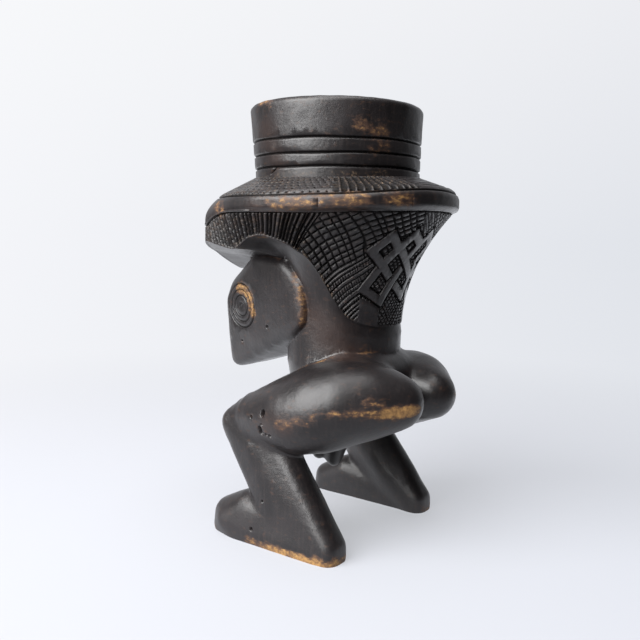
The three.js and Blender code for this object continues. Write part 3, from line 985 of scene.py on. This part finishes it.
# %% Wood: what it reads
# Near-black oiled hardwood: satin, a little streaky, brown and ochre where hands have rubbed it.
wood = bpy.data.materials.new("oiled_dark_hardwood")
wood.use_nodes = True
tree = wood.node_tree
shader = tree.nodes["Principled BSDF"]
place = add(tree, "TexCoord").outputs["Object"]
cut_depth = add(tree, "Attribute", attribute_name="cut").outputs["Fac"]
rubbing = add(tree, "Attribute", attribute_name="worn").outputs["Fac"]
warmth = add(tree, "Attribute", attribute_name="warm").outputs["Fac"]
dusting = add(tree, "Attribute", attribute_name="dusty").outputs["Fac"]
upright = add(tree, "Mapping", {0: place, 3: (1, 1, 1 / 9)})
cloudy = add(tree, "TexNoise", {0: place, 2: per_mm(22), 3: 3})
grain = add(tree, "TexNoise", {0: upright, 2: per_mm(1.6), 3: 3})
specks = add(tree, "TexNoise", {0: place, 2: per_mm(2.2), 3: 4, 4: 0.7})
print("nodes that the wood reads:", len(tree.nodes))

# %% Wood: its colours
shade = add(tree, "MapRange", {0: cloudy, 1: 0.35, 2: 0.7}, interpolation_type="SMOOTHSTEP")
colour = add(tree, "Mix", {0: shade, 6: linear("#141112"), 7: linear("#1e1a1b")}, data_type="RGBA")
streak = add(tree, "MapRange", {0: grain, 1: 0.45, 2: 0.75, 4: 0.45}, interpolation_type="SMOOTHSTEP")
colour = add(tree, "Mix", {0: streak, 6: colour, 7: linear("#2a2423")}, data_type="RGBA")
patchy = add(tree, "MapRange", {0: cloudy, 1: 0.3, 2: 0.6, 3: 0.4, 4: 0.9}, interpolation_type="SMOOTHSTEP")
patchy = add(tree, "Math", {0: warmth, 1: patchy}, operation="MULTIPLY")
colour = add(tree, "Mix", {0: patchy, 6: colour, 7: linear("#33221b")}, data_type="RGBA")
dust = add(tree, "MapRange", {0: specks, 1: 0.5, 2: 0.66, 4: 0.8}, interpolation_type="SMOOTHSTEP")
dust = add(tree, "Math", {0: dusting, 1: dust}, operation="MULTIPLY")
colour = add(tree, "Mix", {0: dust, 6: colour, 7: linear("#75624f")}, data_type="RGBA")
# Half-worn wood is brown with soft edges, and wood rubbed right down is ochre with pale flecks.
streaked = add(tree, "Mapping", {0: place, 3: (1, 1, 2)})
mottled = add(tree, "TexNoise", {0: streaked, 2: per_mm(4), 3: 3, 4: 0.6})
mottled = add(tree, "MapRange", {0: mottled, 1: 0.3, 2: 0.7, 3: -0.4, 4: 0.3})
ragged = add(tree, "Math", {0: rubbing, 1: mottled}, operation="ADD")
bare = add(tree, "MapRange", {0: ragged, 1: 0.05, 2: 0.65, 4: 0.92}, interpolation_type="SMOOTHSTEP")
flecks = add(tree, "MapRange", {0: specks, 1: 0.35, 2: 0.65})
ochre = add(tree, "Mix", {0: flecks, 6: linear("#66472b"), 7: linear("#a27c48")}, data_type="RGBA")
rubbed = add(tree, "Math", {0: flecks, 1: 0.3, 2: ragged}, operation="MULTIPLY_ADD")
rubbed = add(tree, "MapRange", {0: rubbed, 1: 0.5, 2: 1.25}, interpolation_type="SMOOTHSTEP")
ochre = add(tree, "Mix", {0: rubbed, 6: linear("#452f22"), 7: ochre.outputs[2]}, data_type="RGBA")
colour = add(tree, "Mix", {0: bare, 6: colour, 7: ochre}, data_type="RGBA")
# Dirt and painted shade in the cuts: the deeper a point lies, the nearer the wood goes to black.
dark = add(tree, "Math", {0: cut_depth, 1: 0.88}, operation="MULTIPLY")
colour = add(tree, "Mix", {0: dark, 6: colour, 7: linear("#050404")}, data_type="RGBA")
tree.links.new(colour.outputs[2], shader.inputs["Base Color"])

# %% Wood: its shine and its tool marks
shader.inputs["IOR"].default_value = 1.5
rough = add(tree, "MapRange", {0: cloudy, 1: 0.3, 2: 0.7, 3: 0.36, 4: 0.46})
rough = add(tree, "Math", {0: bare, 1: 0.2, 2: rough}, operation="MULTIPLY_ADD")
rough = add(tree, "Math", {0: cut_depth, 1: 0.25, 2: rough}, operation="MULTIPLY_ADD")
tree.links.new(rough.outputs[0], shader.inputs["Roughness"])
# Dirt in the cuts does not shine.
gloss = add(tree, "MapRange", {0: cut_depth, 3: 0.5, 4: 0.12})
tree.links.new(gloss.outputs[0], shader.inputs["Specular IOR Level"])
scraped = add(tree, "TexNoise", {0: place, 2: per_mm(4.5), 3: 2})
dimples = add(tree, "TexNoise", {0: place, 2: per_mm(1.5), 3: 3, 4: 0.65})
skin_marks = add(tree, "Math", {0: dimples, 1: 0.55, 2: scraped}, operation="MULTIPLY_ADD")
bump = add(tree, "Bump", {0: 0.4, 1: 0.0004, 3: skin_marks})
tree.links.new(bump.outputs[0], shader.inputs["Normal"])
carving.data.materials.clear()
carving.data.materials.append(wood)
print("wood nodes:", len(tree.nodes))

# %% [markdown]
# The finished carving rides on the frame's only body and takes the plain CAD model's place.

# %% Riding on the frame
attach(carving, "root")
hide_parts("figural_cup")
print("rides on root:", carving.name)

# %% [markdown]
# ## Floor and light
#
# The cup stands on white paper in front of a white wall. A large soft light stands on the left, another
# hangs overhead, and the paper melts into the white behind it. Paper and wall share two whites, bright on
# the left and darker and a
# little bluer on the right: painted shade for the light that falls from the left.

# %% The paper floor
PAPER = "#a9abb3"
# The white lit from the left, and the same white in painted shade on the right.
LEFT_LIT_WHITE = "#f4f5f9"
RIGHT_SHADED_WHITE = "#e1e4ea"
SIDEWAYS = (-0.59, 0.81, 0.0)  # to the right in the picture
WALL_WAY = (-0.81, -0.59, 0.0)  # into the picture

nothing_selected()
bpy.ops.mesh.primitive_plane_add(size=8)
floor = bpy.context.object
floor.name = "floor"
# Matt white paper that glows softly, so that it melts into the wall far away. Near the figure the glow also
# paints light into the cast shadow and softens it.
paper = bpy.data.materials.new("white_paper")
paper.use_nodes = True
sheet = paper.node_tree
white = sheet.nodes["Principled BSDF"]
white.inputs["Base Color"].default_value = linear(PAPER)
white.inputs["Roughness"].default_value = 0.85
where = add(sheet, "TexCoord").outputs["Object"]
sideways = add(sheet, "VectorMath", {0: where, 1: SIDEWAYS}, operation="DOT_PRODUCT").outputs["Value"]
away = add(sheet, "VectorMath", {0: where}, operation="LENGTH").outputs["Value"]
reach = add(sheet, "Math", {0: away, 1: 0.5}, operation="ADD")
shift = add(sheet, "Math", {0: sideways, 1: reach}, operation="DIVIDE")
shift = add(sheet, "MapRange", {0: shift, 1: -0.4, 2: 0.4})
# Painted shade: the paper darkens towards the right.
lit = add(sheet, "Mix", {0: shift, 6: linear(LEFT_LIT_WHITE), 7: linear(RIGHT_SHADED_WHITE)}, data_type="RGBA")
# The paper's light ends beside the picture, so the wood mirrors a dark room on both sides, and it
# is stronger behind the figure than before it.
depth_in = add(sheet, "VectorMath", {0: where, 1: WALL_WAY}, operation="DOT_PRODUCT").outputs["Value"]
limit = add(sheet, "Math", {0: depth_in, 1: 0.42, 2: 0.28}, operation="MULTIPLY_ADD")
beside = add(sheet, "Math", {0: sideways}, operation="ABSOLUTE")
beside = add(sheet, "Math", {0: beside, 1: limit}, operation="SUBTRACT")
ended = add(sheet, "MapRange", {0: beside, 1: 0.0, 2: 0.15, 3: 1.0, 4: 0.1})
deeper = add(sheet, "MapRange", {0: depth_in, 1: -0.15, 2: 0.12, 3: 0.4, 4: 2.2})
ended = add(sheet, "Math", {0: ended, 1: deeper}, operation="MULTIPLY")
seen_by_camera = add(sheet, "LightPath").outputs["Is Camera Ray"]
strength = add(sheet, "Mix", {0: seen_by_camera, 2: ended, 3: 1.0})
glow = add(sheet, "Emission", {0: lit.outputs[2], 1: strength})
# Even beside the figure the paper is more than half glow: painted light that softens the cast shadow.
far = add(sheet, "MapRange", {0: away, 1: 0.12, 2: 0.7, 3: 0.55}, interpolation_type="SMOOTHSTEP")
both = add(sheet, "MixShader", {0: far, 1: white, 2: glow})
sheet.links.new(both.outputs[0], sheet.nodes["Material Output"].inputs["Surface"])
floor.data.materials.append(paper)
print("paper nodes:", len(sheet.nodes))

# %% The room
# The white wall glows behind the figure, a little less on the right, and the room before it is dark.
world = bpy.data.worlds.new("studio")
bpy.context.scene.world = world
world.use_nodes = True
room = world.node_tree
seen = room.nodes["Background"]
sky = add(room, "TexCoord").outputs["Generated"]
across = add(room, "VectorMath", {0: sky, 1: SIDEWAYS}, operation="DOT_PRODUCT").outputs["Value"]
across = add(room, "MapRange", {0: across, 1: -0.4, 2: 0.4})
# Painted shade on the wall seen behind: darker towards the right, and lighter higher up.
low = add(room, "Mix", {0: across, 6: linear(LEFT_LIT_WHITE), 7: linear(RIGHT_SHADED_WHITE)}, data_type="RGBA")
high = add(room, "Mix", {0: across, 6: linear("#f8f9fb"), 7: linear("#ecedf1")}, data_type="RGBA")
height = add(room, "SeparateXYZ", {0: sky}).outputs["Z"]
height = add(room, "MapRange", {0: height, 1: 0.0, 2: 0.3})
lit_backdrop = add(room, "Mix", {0: height, 6: low.outputs[2], 7: high.outputs[2]}, data_type="RGBA")
room.links.new(lit_backdrop.outputs[2], seen.inputs["Color"])
facing = add(room, "VectorMath", {0: sky, 1: WALL_WAY}, operation="DOT_PRODUCT").outputs["Value"]
bright = add(
    room, "MapRange", {0: facing, 1: 0.2, 2: 0.95, 3: 0.04, 4: 1.0}, interpolation_type="SMOOTHSTEP")
dim = add(room, "Background", {0: linear("#eef0f5"), 1: bright})
ray = add(room, "LightPath").outputs["Is Camera Ray"]
choice = add(room, "MixShader", {0: ray, 1: dim, 2: seen})
room.links.new(choice.outputs[0], room.nodes["World Output"].inputs["Surface"])
bpy.context.scene.view_settings.view_transform = "Standard"
print("room nodes:", len(room.nodes))


# %% Soft lights
def softbox(name, turn, rise, distance, size, power, aim=(0, 0, 120)):
    """A square area light in a direction round the cup, looking at a point."""
    data = bpy.data.lights.new(name, "AREA")
    data.size = size
    data.energy = power
    lamp = bpy.data.objects.new(name, data)
    turn, rise = math.radians(turn), math.radians(rise)
    way = Vector((math.sin(turn) * math.cos(rise), -math.cos(turn) * math.cos(rise), math.sin(rise)))
    lamp.location = (Vector(aim) + way * distance) * MM
    lamp.rotation_euler = (-way).to_track_quat("-Z", "Y").to_euler()
    lamp.visible_camera = False
    bpy.context.scene.collection.objects.link(lamp)
    return lamp


softbox("window_left", 76, 31, 1400, 1.4, 70)
softbox("overhead", 120, 80, 1200, 0.8, 12)
